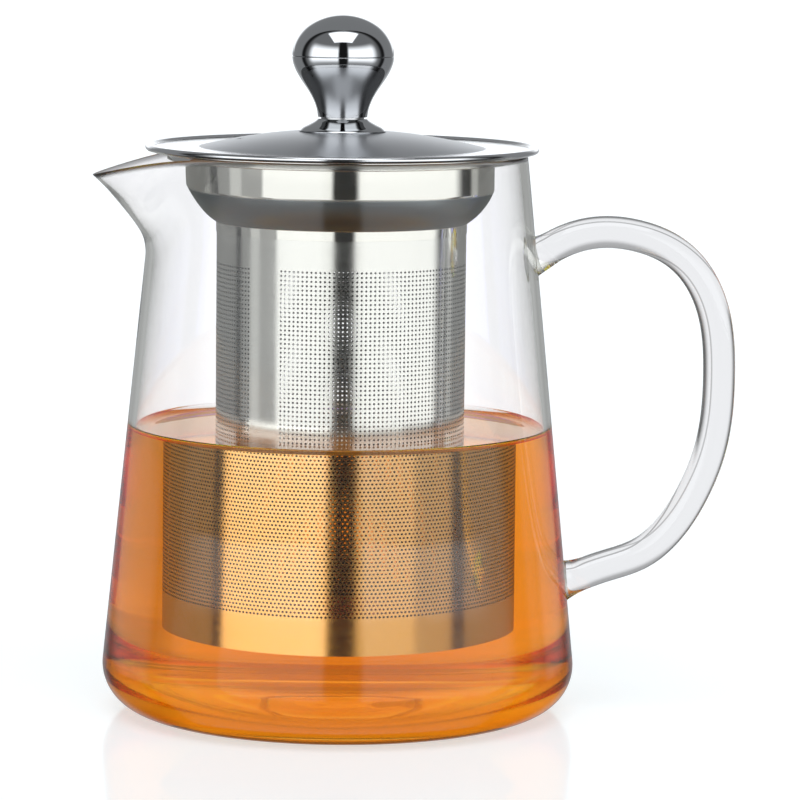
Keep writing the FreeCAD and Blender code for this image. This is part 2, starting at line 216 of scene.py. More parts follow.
def turned_coords(nt, across, along):
    """Coordinates for marks that run round the axis: (r, z) fine, the angle coarse."""
    co = add(nt, "TexCoord").outputs["Object"]
    sep = add(nt, "SeparateXYZ")
    nt.links.new(co, sep.inputs[0])
    x, y, z = sep.outputs
    rr = math_node(
        nt, "SQRT",
        math_node(nt, "ADD", math_node(nt, "MULTIPLY", x, x), math_node(nt, "MULTIPLY", y, y)),
    )
    angle = math_node(nt, "ARCTAN2", y, x)
    both = add(nt, "CombineXYZ")
    nt.links.new(math_node(nt, "MULTIPLY", rr, across), both.inputs[0])
    nt.links.new(math_node(nt, "MULTIPLY", z, across), both.inputs[1])
    nt.links.new(math_node(nt, "MULTIPLY", math_node(nt, "COSINE", angle), along), both.inputs[2])
    w = math_node(nt, "MULTIPLY", math_node(nt, "SINE", angle), along)
    return co, both.outputs[0], w


def steel(name, colour, rough, spread, grain=900.0, along=2.0, depth=2e-6, smudge=38.0, aniso=0.0):
    """Stainless steel: fine turned marks in roughness and relief, faint handling smudges."""
    m, nt, p, out = new_material(name)
    co, vec, w = turned_coords(nt, grain, along)
    fine = noise(nt, vec, 1.0, 3.0, 0.6, "4D", w)
    blot = noise(nt, co, smudge, 3.0, 0.55)
    mixed = math_node(nt, "ADD", math_node(nt, "MULTIPLY", fine, 0.55), math_node(nt, "MULTIPLY", blot, 0.45))
    nt.links.new(ranged(nt, mixed, 0.3, 0.7, max(rough - spread, 0.01), rough + spread, "LINEAR"), p.inputs["Roughness"])
    tint = add(nt, "MixRGB")
    tint.inputs["Color1"].default_value = (*[c * 0.96 for c in colour], 1)
    tint.inputs["Color2"].default_value = (*[min(c * 1.03, 1) for c in colour], 1)
    nt.links.new(blot, tint.inputs["Fac"])
    nt.links.new(tint.outputs[0], p.inputs["Base Color"])
    p.inputs["Metallic"].default_value = 1.0
    b = add(nt, "Bump")
    b.inputs["Strength"].default_value = 1.0
    b.inputs["Distance"].default_value = depth
    nt.links.new(fine, b.inputs["Height"])
    nt.links.new(b.outputs[0], p.inputs["Normal"])
    return m


def clear(name, ior, wave, wave_scale, absorb, density, rough=0.004):
    """Clear glass or liquid with faint waviness and absorption inside."""
    m, nt, p, out = new_material(name)
    co = add(nt, "TexCoord").outputs["Object"]
    p.inputs["Base Color"].default_value = (1, 1, 1, 1)
    p.inputs["Transmission Weight"].default_value = 1.0
    p.inputs["IOR"].default_value = ior
    slow = noise(nt, co, wave_scale, 2.0, 0.45)
    marks = noise(nt, co, 160.0, 4.0, 0.6)
    nt.links.new(ranged(nt, marks, 0.52, 0.8, 0.0, rough, "LINEAR"), p.inputs["Roughness"])
    b = add(nt, "Bump")
    b.inputs["Strength"].default_value = 1.0
    b.inputs["Distance"].default_value = wave
    nt.links.new(slow, b.inputs["Height"])
    nt.links.new(b.outputs[0], p.inputs["Normal"])
    v = add(nt, "VolumeAbsorption")
    v.inputs["Color"].default_value = (*absorb, 1)
    v.inputs["Density"].default_value = density
    nt.links.new(v.outputs[0], out.inputs["Volume"])
    return m


def object_radius(nt):
    """The distance from the pot's axis and the height, in millimetres."""
    sep = add(nt, "SeparateXYZ")
    nt.links.new(add(nt, "TexCoord").outputs["Object"], sep.inputs[0])
    x, y, z = sep.outputs
    rr = math_node(nt, "SQRT", math_node(nt, "ADD", math_node(nt, "MULTIPLY", x, x), math_node(nt, "MULTIPLY", y, y)))
    return math_node(nt, "MULTIPLY", rr, 1000.0), math_node(nt, "MULTIPLY", z, 1000.0)


def finish_and_painted_shade(mat, share, colour, rough):
    """A second, duller finish of the same steel where share is 1, also used to lay painted shade on the neck ring's
    shoulder and the sleeve's inner face.
    """
    nt = mat.node_tree
    p = next(n for n in nt.nodes if n.type == "BSDF_PRINCIPLED")
    for socket, value in (("Base Color", (*colour, 1)), ("Roughness", rough)):
        old = p.inputs[socket].links[0].from_socket
        if socket == "Base Color":
            n = add(nt, "MixRGB")
            nt.links.new(share, n.inputs["Fac"])
            nt.links.new(old, n.inputs["Color1"])
            n.inputs["Color2"].default_value = value
            nt.links.new(n.outputs[0], p.inputs[socket])
        else:
            keep = math_node(nt, "MULTIPLY", old, math_node(nt, "SUBTRACT", 1.0, share))
            nt.links.new(math_node(nt, "ADD", keep, math_node(nt, "MULTIPLY", share, value)), p.inputs[socket])
    return mat


def rough_mark_and_painted_shade(mat):
    """The wavy line under the base where the blowing iron was broken off: rough, with a painted dark shade line."""
    nt = mat.node_tree
    p = next(n for n in nt.nodes if n.type == "BSDF_PRINCIPLED")
    sep = add(nt, "SeparateXYZ")
    nt.links.new(add(nt, "TexCoord").outputs["Object"], sep.inputs[0])
    x, y, z = (math_node(nt, "MULTIPLY", q, k) for q, k in zip(sep.outputs, (1000.0, 1000.0 * MARK_FLAT, 1000.0)))
    angle = math_node(nt, "ARCTAN2", y, x)
    radius = math_node(nt, "SQRT", math_node(nt, "ADD", math_node(nt, "MULTIPLY", x, x), math_node(nt, "MULTIPLY", y, y)))
    height = z
    line_r = 12.6
    for size, turns, start in ((0.9, 2, 0.6), (0.6, 5, 2.0), (0.3, 11, 0.0)):
        bend = math_node(nt, "SINE", math_node(nt, "MULTIPLY_ADD", angle, turns, start))
        line_r = math_node(nt, "MULTIPLY_ADD", bend, size, line_r)
    away = math_node(nt, "ABSOLUTE", math_node(nt, "SUBTRACT", radius, line_r))
    # the flattened ring's own steepness turns this into a distance
    yy = math_node(nt, "MULTIPLY", y, MARK_FLAT)
    steep = math_node(nt, "SQRT", math_node(nt, "ADD", math_node(nt, "MULTIPLY", x, x), math_node(nt, "MULTIPLY", yy, yy)))
    away = math_node(nt, "DIVIDE", math_node(nt, "MULTIPLY", away, radius), math_node(nt, "MAXIMUM", steep, 0.1))
    share = math_node(nt, "MULTIPLY", ranged(nt, away, 0.45, 0.9, 1.0, 0.0), ranged(nt, height, 1.5, 2.0, 1.0, 0.0))
    # the flame-finished edge of the rim is a little rough too, and gets a painted grey shade
    lip = add(nt, "Attribute", attribute_name="lip").outputs["Fac"]
    old = p.inputs["Roughness"].links[0].from_socket
    rough = math_node(nt, "MULTIPLY_ADD", share, 0.45, math_node(nt, "MULTIPLY_ADD", lip, 0.3, old))
    nt.links.new(rough, p.inputs["Roughness"])
    # near-black tint: painted dark shade on the base mark and, lighter, along the rim's edge
    tint = add(nt, "MixRGB")
    nt.links.new(math_node(nt, "MAXIMUM", share, math_node(nt, "MULTIPLY", lip, 0.64)), tint.inputs["Fac"])
    tint.inputs["Color1"].default_value = (1, 1, 1, 1)
    tint.inputs["Color2"].default_value = (0.03, 0.03, 0.03, 1)
    nt.links.new(tint.outputs[0], p.inputs["Base Color"])


MARK_FLAT = 2.1  # the mark under the base is that much wider than it is deep
GLASS = clear("clear_glass", 1.47, 6e-5, 30.0, (0.93, 0.975, 0.955), 14.0)
rough_mark_and_painted_shade(GLASS)
TEA = clear("tea", 1.42, 2e-5, 55.0, (0.973, 0.757, 0.115), 62.0, 0.002)
POLISHED = steel("polished_steel", (0.80, 0.79, 0.765), 0.07, 0.035, 2200.0, 1.6, 1.5e-6)
# the pressed shoulder of the neck ring keeps its brushed draw marks, which make it rougher; its darker colour is a
# painted shade for the downward-facing shoulder
SHOULDER_SHADE_NODES = POLISHED.node_tree
height = object_radius(SHOULDER_SHADE_NODES)[1]
drawn = math_node(
    SHOULDER_SHADE_NODES, "MULTIPLY",
    ranged(SHOULDER_SHADE_NODES, height, 126.3, 126.9, 1.0, 0.0), ranged(SHOULDER_SHADE_NODES, height, 118.9, 119.1, 0.0, 1.0),
)
finish_and_painted_shade(POLISHED, drawn, (0.19, 0.218, 0.24), 0.3)
STRAINER = steel("strainer_steel", (0.78, 0.775, 0.76), 0.15, 0.05, 900.0, 5.0, 1.5e-6)
# the sheet's inner face is left as rolled and rougher; its darker colour is a painted shade so that the holes read
# dark
INNER_FACE_SHADE_NODES = STRAINER.node_tree
finish_and_painted_shade(STRAINER, ranged(INNER_FACE_SHADE_NODES, object_radius(INNER_FACE_SHADE_NODES)[0], 29.95, 30.12, 1.0, 0.0), (0.26, 0.255, 0.25), 0.45)
CUP = steel("cup_steel", (0.76, 0.755, 0.745), 0.18, 0.05, 900.0, 3.0, 1.5e-6)
SATIN = steel("satin_steel", (0.77, 0.775, 0.785), 0.15, 0.03, 1600.0, 3.0, 3e-7)
# the dome is brushed, the flat ring and the rolled edge are polished
BRUSHED = SATIN.node_tree
finish_and_painted_shade(SATIN, ranged(BRUSHED, object_radius(BRUSHED)[0], 34.3, 34.9, 1.0, 0.0), (0.66, 0.67, 0.69), 0.33)
MIRROR = steel("mirror_steel", (0.66, 0.67, 0.68), 0.045, 0.02, 900.0, 1.2, 4e-7)
HARDWARE = steel("hardware_steel", (0.6, 0.6, 0.6), 0.3, 0.08, 2200.0, 2.0, 3e-6)


def dress(ob, mat):
    ob.data.materials.clear()
    ob.data.materials.append(mat)
    return ob


# ------------------------------------------------------------------ glass body
TAPER, WALL_R, WALL_Z, WALL_T, RIM = 0.1025, 57.442, 12.23, 2.01, 135.6
LEAN = math.degrees(math.atan(TAPER))


def r_out(z):
    return WALL_R - TAPER * (z - WALL_Z)


def vessel():
    outer = [(0.0, 1.2)]
    rings = [*np.linspace(1.2, 3.6, 3), *np.arange(3.9, 15.6, 0.22), *np.linspace(16.2, 37.2, 16)]
    outer += [(r, 1.2 * (1 - (r / 38.0) ** 1.6)) for r in rings]
    outer += [(38.0, 0.02), (38.6, 0.0), (40.5, 0.0), (43.0, 0.0), (45.0, 0.0)]
    outer += arc(46.4, 11.1, 11.1, -90, LEAN, 26)
    low = [(r_out(z), z) for z in np.linspace(WALL_Z, 108.0, 40)[1:]]
    high = [(r_out(z), z) for z in np.linspace(108.0, RIM - 1.0, 44)[1:]]
    outer += low + high
    lip = arc(r_out(RIM - 1.0) - 1.0, RIM - 1.0, 1.0, 0, 180, 12)[1:-1]
    inner = [(r - WALL_T, z) for r, z in reversed(low + high)]
    z_in = 14.317
    inner = [p for p in inner if p[1] > z_in + 1.0]
    inner += arc(46.26, 13.4, 9.0, LEAN, -90, 26)
    inner += [(r, 4.4) for r in np.linspace(44.0, 1.5, 24)] + [(0.0, 4.4)]
    profile = outer + lip + inner
    n = 360
    u = [-math.pi + 2 * math.pi * k / n for k in range(n)]
    angles = [math.pi + a - 0.66 * math.sin(a) for a in u]
    verts, faces = lathe(profile, angles)
    v = np.array(verts)
    plain = v[:, 2].copy()
    # the spout is drawn out of the rim in one soft sweep
    w = np.clip((v[:, 2] - 109.5) / (RIM - 109.5), 0, 1)
    phi = np.abs(np.arctan2(v[:, 1], -v[:, 0]))
    g = np.exp(-(np.maximum(phi, 1e-9) / (0.26 + 0.15 * w)) ** 1.8)
    g *= 1 - smooth(0.75, 1.25, phi)
    h = (np.sqrt((w - 0.2) ** 2 + 0.012) + w - 0.2) / (np.sqrt(0.652) + 0.8) - 0.0183 * (1 - w)
    h *= smooth(0, 0.15, w)
    near = (w > 0) & (np.hypot(v[:, 0], v[:, 1]) > 20)
    # the drawn lip is thinner than the wall
    rr = np.hypot(v[:, 0], v[:, 1])
    middle = r_out(v[:, 2]) - WALL_T / 2
    thin = 1 - 0.42 * np.sqrt(g) * smooth(0.5, 0.92, w)
    scale = np.where(near, (middle + (rr - middle) * thin) / np.maximum(rr, 1e-6), 1.0)
    v[:, :2] *= scale[:, None]
    v[:, 0] -= np.where(near, 16.1 * h * g, 0)
    v[:, 2] -= np.where(near, 5.7 * w * w * g, 0)
    # the irregular mark that the blowing iron leaves under the base
    rr, th = np.hypot(v[:, 0], MARK_FLAT * v[:, 1]), np.arctan2(MARK_FLAT * v[:, 1], v[:, 0])
    mark = 12.6 + 0.9 * np.sin(2 * th + 0.6) + 0.6 * np.sin(5 * th + 2.0) + 0.3 * np.sin(11 * th)
    high = 0.85 * (0.75 + 0.25 * np.sin(3 * th + 1.0))
    steep = np.hypot(v[:, 0], MARK_FLAT**2 * v[:, 1]) / np.maximum(rr, 0.1)
    away = (rr - mark) / np.maximum(steep, 1.0)
    v[:, 2] -= np.where((v[:, 2] < 1.3) & (rr < 25), high * np.exp(-((away / 0.55) ** 2)), 0)
    # the last value marks the rim's edge, where the glass is rougher and gets a painted grey shade
    return v, faces, smooth(RIM - 1.5, RIM - 0.8, plain)


vessel_verts, vessel_faces, lip_roughness_and_shade = vessel()
body = add_piece("teapot_vessel", vessel_verts, vessel_faces, "pot", ["glass_body"], "clear_glass", sharp=60)
body.data.attributes.new("lip", "FLOAT", "POINT").data.foreach_set("value", lip_roughness_and_shade.astype(np.float32))
dress(body, GLASS)


# ------------------------------------------------------------------ glass handle
SPINE = [
    (44, 108.8), (48, 111.4), (54.5, 115), (63.5, 117), (71.5, 116.2), (78.3, 113.8),
    (83.4, 110.2), (87.8, 104.4), (90.9, 96), (92.1, 83), (91.6, 71.6), (89.6, 61.8),
    (86.5, 54), (80.9, 44.8), (73.7, 38.4), (64, 34.8), (57, 32.2), (50, 30),
]


def natural_spline(points, count):
    """A smooth curve through points, by chord length."""
    p = np.array(points, float)
    t = np.concatenate([[0], np.cumsum(np.linalg.norm(np.diff(p, axis=0), axis=1))])
    n = len(t)
    h = np.diff(t)
    m = np.zeros((n, n))
    rhs = np.zeros((n, 2))
    m[0, 0] = m[-1, -1] = 1
    for i in range(1, n - 1):
        m[i, i - 1], m[i, i], m[i, i + 1] = h[i - 1], 2 * (h[i - 1] + h[i]), h[i]
        rhs[i] = 6 * ((p[i + 1] - p[i]) / h[i] - (p[i] - p[i - 1]) / h[i - 1])
    k = np.linalg.solve(m, rhs)
    x = np.linspace(0, t[-1], count)
    i = np.clip(np.searchsorted(t, x) - 1, 0, n - 2)
    a, b, d = (t[i + 1] - x)[:, None], (x - t[i])[:, None], h[i][:, None]
    return (
        k[i] * a**3 / (6 * d) + k[i + 1] * b**3 / (6 * d)
        + (p[i] / d - k[i] * d / 6) * a + (p[i + 1] / d - k[i + 1] * d / 6) * b
    )


def handle():
    fine = natural_spline(SPINE, 4000)
    sunk = 1.5
    outside = np.nonzero(fine[:, 0] > r_out(fine[:, 1]) - sunk)[0]
    fine = fine[outside[0] : outside[-1] + 1]
    s = np.concatenate([[0], np.cumsum(np.linalg.norm(np.diff(fine, axis=0), axis=1))])
    total = s[-1]
    # rings close together at the welds
    u = np.linspace(0, 1, 170)
    at = total * (0.5 - 0.5 * np.cos(np.pi * u)) * 0.45 + total * u * 0.55
    c = np.stack([np.interp(at, s, fine[:, 0]), np.interp(at, s, fine[:, 1])], 1)
    d = np.gradient(c, axis=0)
    d /= np.linalg.norm(d, axis=1)[:, None]
    n = np.stack([-d[:, 1], d[:, 0]], 1)
    seg = 48
    al = np.arange(seg) * 2 * np.pi / seg
    rings = []
    for i in range(len(at)):
        e0, e1 = at[i], total - at[i]
        end = min(e0, e1)
        reach, tall, wide = (7.5, 5.5, 4.7) if e0 < e1 else (7.5, 5.6, 4.7)
        f = max(0.0, 1 - end / reach)
        a = 3.9 + (tall - 3.9) * f**2.6
        b = 3.9 + (wide - 3.9) * f**2.2
        ripple = 1 + 0.03 * f * np.sin(3 * al + 1.1 + 0.7 * end) + 0.015 * f * np.sin(5 * al + 0.4)
        # the rings turn from square to the rod to flat on the wall
        k = f * f * (3 - 2 * f)
        nx, nz = (1 - k) * n[i, 0], (1 - k) * n[i, 1] + k * np.sign(n[i, 1])
        nx, nz = nx / math.hypot(nx, nz), nz / math.hypot(nx, nz)
        z = c[i, 1] + a * np.cos(al) * nz * ripple
        y = b * np.sin(al) * ripple
        wall = np.sqrt((r_out(z) - sunk) ** 2 - y * y)
        x = c[i, 0] + a * np.cos(al) * nx * ripple + k * (wall - (r_out(c[i, 1]) - sunk))
        rings.append(np.stack([x, y, z], 1))
    verts = np.concatenate(rings)
    faces = []
    for i in range(len(rings) - 1):
        for k in range(seg):
            m = (k + 1) % seg
            faces.append((i * seg + k, i * seg + m, (i + 1) * seg + m, (i + 1) * seg + k))
    # closed ends that follow the wall
    for i, flip in ((0, False), (len(rings) - 1, True)):
        ring = rings[i]
        mid = ring.mean(0)
        base = [i * seg + k for k in range(seg)]
        for share in (0.66, 0.33):
            inner = mid + (ring - mid) * share
            inner[:, 0] = np.sqrt((r_out(inner[:, 2]) - sunk) ** 2 - inner[:, 1] ** 2)
            start = len(verts)
            verts = np.concatenate([verts, inner])
            new = list(range(start, start + seg))
            for k in range(seg):
                m = (k + 1) % seg
                faces.append((base[k], base[m], new[m], new[k]))
            base = new
        centre = np.array([[math.sqrt((r_out(mid[2]) - sunk) ** 2 - mid[1] ** 2), mid[1], mid[2]]])
        verts = np.concatenate([verts, centre])
        for k in range(seg):
            faces.append((base[k], base[(k + 1) % seg], len(verts) - 1))
    return verts, faces


grip = add_piece("teapot_handle", *handle(), "pot", ["glass_handle"], "clear_glass", sharp=50)
dress(grip, GLASS)


# ------------------------------------------------------------------ tea
def tea():
    level, sunk = 68.2, 0.2
    r_in = lambda z: r_out(z) - WALL_T + sunk
    prof = [(0.0, 4.4 - sunk)] + [(r, 4.4 - sunk) for r in np.linspace(4, 44, 11)]
    prof += arc(46.26, 13.4, 9.0 + sunk, -90, LEAN, 24)
    top = level + 1.7
    prof += [(r_in(z), z) for z in np.linspace(14.4, top, 30)[1:]]
    edge = r_in(top)
    prof += [(edge - q, level + 1.7 * math.exp(-q / 1.05)) for q in (0.12, 0.3, 0.5, 0.75, 1.05, 1.4, 1.9, 2.6, 3.5, 5, 7)]
    prof += [(r, level) for r in np.linspace(edge - 9, 3, 10)] + [(0.0, level)]
    return lathe(prof, around(256))


tea_ob = add_piece("tea", *tea(), "pot", sharp=50)
dress(tea_ob, TEA)


# ------------------------------------------------------------------ infuser
def collar():
    t = 0.6
    pts = [(45.6, 135.6), (45.6, 136.2), (41.6, 136.2), (41.6, 134.5), (36.2, 134.5), (36.2, 127.0)]
    rad = [0.25, 0.25, 0.7, 0.9, 0.6, 0.8]
    inner = []
    # shoulder, inside and outside
    def shoulder(r0, z0, r1, z1, radius):
        p, q = np.array([r0, z0]), np.array([r1, z1])
        mid, half = (p + q) / 2, (q - p) / 2
        nrm = np.array([half[1], -half[0]]) / np.linalg.norm(half)
        if nrm[0] > 0:
            nrm = -nrm
        cen = mid + nrm * math.sqrt(radius**2 - half @ half)
        a0 = math.degrees(math.atan2(*(p - cen)[::-1]))
        a1 = math.degrees(math.atan2(*(q - cen)[::-1]))
        return arc(cen[0], cen[1], radius, a0, a1, 12)[1:-1]
    inner = shoulder(36.2, 127.0, 30.2, 119.2, 15.4)
    outer = shoulder(36.8, 127.0, 30.8, 119.2, 16.0)[::-1]
    pts += inner
    rad += [0] * len(inner)
    # the neck is thinned where it laps over the sleeve
    pts += [(30.2, 119.2), (30.2, 116.6), (30.32, 116.6), (30.34, 118.9), (30.8, 119.2)]
    rad += [0.5, 0.02, 0.03, 0.1, 0.1]
    pts += outer
    rad += [0] * len(outer)
    pts += [(36.8, 127.0), (36.8, 133.9), (42.2, 133.9), (42.2, 135.6)]
    rad += [0.5, 0.5, 0.22, 0.15]
    return lathe(eased(pts, rad, 6), around(288))


collar_ob = add_piece("infuser_neck_ring", *collar(), "infuser", ["infuser_collar"], "polished_steel", sharp=40)
dress(collar_ob, POLISHED)

SLEEVE_R, SLEEVE_IN = 30.2, 29.8
SEAM = (-44.0, -28.0)  # the plain seam strip, degrees from the front towards the handle


def sleeve_part(name, start, stop, z0, z1, fields):
    """One watertight sector of the punched sheet between two azimuths.
    fields: (z low, z high, rows, columns in this sector, hole radius, staggered)."""
    verts, quads, uvs = [], [], []
    grid = {}

    def vert(a, z, r):
        key = (round(a, 6), round(z, 5), r)
        if key not in grid:
            grid[key] = len(verts)
            t = math.radians(a)
            verts.append((r * math.sin(t), -r * math.cos(t), z))
        return grid[key]

    def uv(a, z, r):
        s = (a - start) / (stop - start)
        return (0.01 + 0.46 * s if r == SLEEVE_R else 0.97 - 0.46 * s, 0.02 + 0.94 * (z - z0) / (z1 - z0))

    def face(pts):
        quads.append(tuple(vert(*p) for p in pts))
        uvs.extend(uv(*p) for p in pts)

    def both(loop):
        face([(a, z, SLEEVE_R) for a, z in loop])
        face([(a, z, SLEEVE_IN) for a, z in reversed(loop)])

    def strip(za, zb, low, high):
        """Plain sheet between two heights whose vertices are at the given azimuths."""
        i = j = 0
        while i < len(low) - 1 or j < len(high) - 1:
            if j == len(high) - 1 or (i < len(low) - 1 and low[i + 1] <= high[j + 1] + 1e-9):
                if j < len(high) - 1 and abs(low[i + 1] - high[j + 1]) < 1e-9:
                    both([(low[i], za), (low[i + 1], za), (high[j + 1], zb), (high[j], zb)])
                    i, j = i + 1, j + 1
                else:
                    both([(low[i], za), (low[i + 1], za), (high[j], zb)])
                    i += 1
            else:
                both([(low[i], za), (high[j + 1], zb), (high[j], zb)])
                j += 1

    def spaced(columns):
        step = (stop - start) / columns / 2
        return [start + step * k for k in range(2 * columns + 1)]

    edge_low = spaced(fields[0][3])
    z_now = z0
    for za, zb, rows, columns, hole, stagger in fields:
        marks = spaced(columns)
        strip(z_now, za, edge_low if z_now == z0 else previous, marks)
        pitch_a, pitch_z = (stop - start) / columns, (zb - za) / rows
        ha = math.degrees(hole / SLEEVE_R)
        hexagon = [(ha * math.cos(math.radians(q)), hole * math.sin(math.radians(q))) for q in (-90, -30, 30, 90, 150, 210)]
        for j in range(rows):
            low, high = za + pitch_z * j, za + pitch_z * (j + 1)
            shift = 1 if stagger and j % 2 else 0
            k = 0
            while k < 2 * columns:
                wide = 2
                if shift and k == 0:
                    wide = 1
                if k + wide > 2 * columns:
                    wide = 2 * columns - k
                a0, a1 = marks[k], marks[k + wide]
                am, zm = (a0 + a1) / 2, (low + high) / 2
                if wide == 1:
                    both([(a0, low), (a1, low), (a1, high), (a0, high)])
                elif not stagger and SEAM[0] - 0.01 < am < SEAM[1] + 0.01:
                    am = marks[k + 1]
                    both([(a0, low), (am, low), (am, high), (a0, high)])
                    both([(am, low), (a1, low), (a1, high), (am, high)])
                else:
                    am = marks[k + 1]
                    rim = [(am, low), (a1, low), (a1, high), (am, high), (a0, high), (a0, low)]
                    ring = [(am + p, zm + q) for p, q in hexagon]
                    for e in range(6):
                        f = (e + 1) % 6
                        both([rim[e], rim[f], ring[f], ring[e]])
                        # the hole's own wall; its map fills the hole in the outer map
                        pts = [
                            (*ring[e], SLEEVE_R), (*ring[f], SLEEVE_R),
                            (*ring[f], SLEEVE_IN), (*ring[e], SLEEVE_IN),
                        ]
                        quads.append(tuple(vert(*p) for p in pts))
                        for q, (a, z, r) in enumerate(pts):
                            s = 1.0 if q < 2 else 0.4
                            uvs.append(uv(am + (a - am) * s, zm + (z - zm) * s, SLEEVE_R))
                k += wide
        previous, z_now = marks, zb
    top = spaced(fields[-1][3])
    strip(z_now, z1, previous, top)
    # cut edges: bottom, top and the two sides
    for z, marks, v in ((z0, edge_low, (0.002, 0.012)), (z1, top, (0.97, 0.98))):
        for k in range(len(marks) - 1):
            pts = [(marks[k], z, SLEEVE_R), (marks[k + 1], z, SLEEVE_R), (marks[k + 1], z, SLEEVE_IN), (marks[k], z, SLEEVE_IN)]
            quads.append(tuple(vert(*p) for p in pts))
            s = [0.01 + 0.46 * (marks[i] - start) / (stop - start) for i in (k, k + 1)]
            uvs.extend([(s[0], v[0]), (s[1], v[0]), (s[1], v[1]), (s[0], v[1])])
    for a, u in ((start, (0.48, 0.49)), (stop, (0.985, 0.995))):
        zs = sorted({key[1] for key in grid if abs(key[0] - a) < 1e-6})
        for k in range(len(zs) - 1):
            pts = [(a, zs[k], SLEEVE_R), (a, zs[k], SLEEVE_IN), (a, zs[k + 1], SLEEVE_IN), (a, zs[k + 1], SLEEVE_R)]
            quads.append(tuple(vert(*p) for p in pts))
            v = [0.02 + 0.94 * (zs[i] - z0) / (z1 - z0) for i in (k, k + 1)]
            uvs.extend([(u[0], v[0]), (u[1], v[0]), (u[1], v[1]), (u[0], v[1])])
    ob = add_piece(name, verts, quads, "infuser", ["infuser_sleeve"], "strainer_steel", sharp=30, outward=False)
    layer = ob.data.uv_layers.new(name="OFBake")
    layer.data.foreach_set("uv", np.array(uvs, np.float32).ravel())
    bm = bmesh.new()
    bm.from_mesh(ob.data)
    bmesh.ops.recalc_face_normals(bm, faces=bm.faces)
    bm.to_mesh(ob.data)
    bm.free()
    ob.data.set_sharp_from_angle(angle=math.radians(30))
    return dress(ob, STRAINER)


# square rows above the tea line, staggered rows below it; four sheets' worth of holes
MID = 67.2
for label, start in (("front", -90.0), ("back", 90.0)):
    sleeve_part("infuser_sleeve_upper_" + label, start, start + 180, MID, 119.0, [(68.0, 109.7, 39, 88, 0.29, False)])
    sleeve_part("infuser_sleeve_lower_" + label, start, start + 180, 18.4, MID, [(27.2, 66.3, 42, 111, 0.285, True)])


def base_cup():
    r, t, z, h = 29.8, 0.5, 18.4, 5.6
    pts = [(0.0, z), (10, z), (20, z), (27, z), (r, z), (r, z + h), (r - t, z + h), (r - t, z + t), (26, z + t), (20, z + t), (10, z + t), (0.0, z + t)]
    rad = [0, 0, 0, 0, 1.4, 0.15, 0.15, 0.9, 0, 0, 0, 0]
    return lathe(eased(pts, rad, 5), around(192))


cup = add_piece("infuser_bottom_cup", *base_cup(), "infuser", ["infuser_base"], "strainer_steel", sharp=40)
dress(cup, CUP)


# ------------------------------------------------------------------ lid
def cover():
    low, top, seat, dome_r = 136.2, 136.9, 140.69, 143.8
    cz = top - math.sqrt(dome_r**2 - 34.5**2)
    upper = [(2.1, seat - 0.7), (2.1, seat), (10.8, seat)]
    rad = [0.1, 0.15, 1.0]
    dome = [(r, cz + math.sqrt(dome_r**2 - r * r)) for r in np.linspace(12.5, 33.6, 22)]
    upper += dome
    rad += [0] * len(dome)
    upper += [(34.5, top), (38.0, top), (42.0, top), (45.6, top + 0.02)]
    rad += [1.0, 0, 0, 0.8]
    bead = arc(46.7, 136.75, 0.75, 115, -140, 18)
    upper += bead
    rad += [0] * len(bead)
    under = [(45.2, low), (40.0, low), (34.5, low)]
    rad += [0.3, 0, 1.0]
    inner = [(r, cz + math.sqrt((dome_r - 0.7) ** 2 - r * r)) for r in np.linspace(33.6, 12.5, 22)]
    under += inner + [(10.8, seat - 0.7)]
    rad += [0] * len(inner) + [1.0]
    return lathe(eased(upper + under, rad, 5), around(256))


lid = add_piece("lid_dome", *cover(), "lid", ["lid_cover"], "satin_steel", sharp=35)

# the vent hole goes through the sheet
bm = bmesh.new()
bmesh.ops.create_cone(bm, cap_ends=True, segments=40, radius1=1.0 * MM, radius2=1.0 * MM, depth=8 * MM,
                      matrix=Matrix.Translation((-24.5 * MM, -3.0 * MM, 138.6 * MM)))
cut_mesh = bpy.data.meshes.new("vent_cutter")
bm.to_mesh(cut_mesh)
bm.free()
cutter = bpy.data.objects.new("vent_cutter", cut_mesh)
scene.collection.objects.link(cutter)
cut = lid.modifiers.new("vent", "BOOLEAN")
cut.object, cut.operation, cut.solver = cutter, "DIFFERENCE", "EXACT"
bpy.context.view_layer.update()
lid_mesh = bpy.data.meshes.new_from_object(lid.evaluated_get(bpy.context.evaluated_depsgraph_get()))
lid.modifiers.clear()
lid.data = lid_mesh
lid_mesh.set_sharp_from_angle(angle=math.radians(35))
bpy.data.objects.remove(cutter)
dress(lid, SATIN)


def skirt():
    pts = [(35.2, 128.6), (35.8, 128.6), (35.8, 135.6), (40.6, 135.6), (40.6, 136.2), (35.2, 136.2)]
    return lathe(eased(pts, [0.2, 0.2, 0.5, 0.2, 0.2, 0.9], 5), around(192))


dress(add_piece("lid_locating_skirt", *skirt(), "lid", ["lid_skirt"], "satin_steel", sharp=40), SATIN)

SEAT = 140.69


def ferrule():
    z = SEAT
    # one sweep from the edge up to the neck
    sweep = [(10.4, 0.36), (9.85, 0.9), (8.55, 1.62), (7.2, 2.28), (6.35, 2.8), (6.0, 3.15)]
    side = [tuple(p) for p in natural_spline([(r, z + q) for r, q in sweep], 26)]
    pts = [(2.1, z), (10.3, z), (10.46, z + 0.14), (10.46, z + 0.26)] + side + [(2.1, z + 3.15)]
    rad = [0.1, 0.1, 0.1, 0.08] + [0] * (len(side) - 1) + [0.12, 0.1]
    return lathe(eased(pts, rad, 4), around(192))


dress(add_piece("knob_ferrule", *ferrule(), "lid", ["knob_foot"], "mirror_steel", sharp=40), MIRROR)

BALL_Z = 158.84


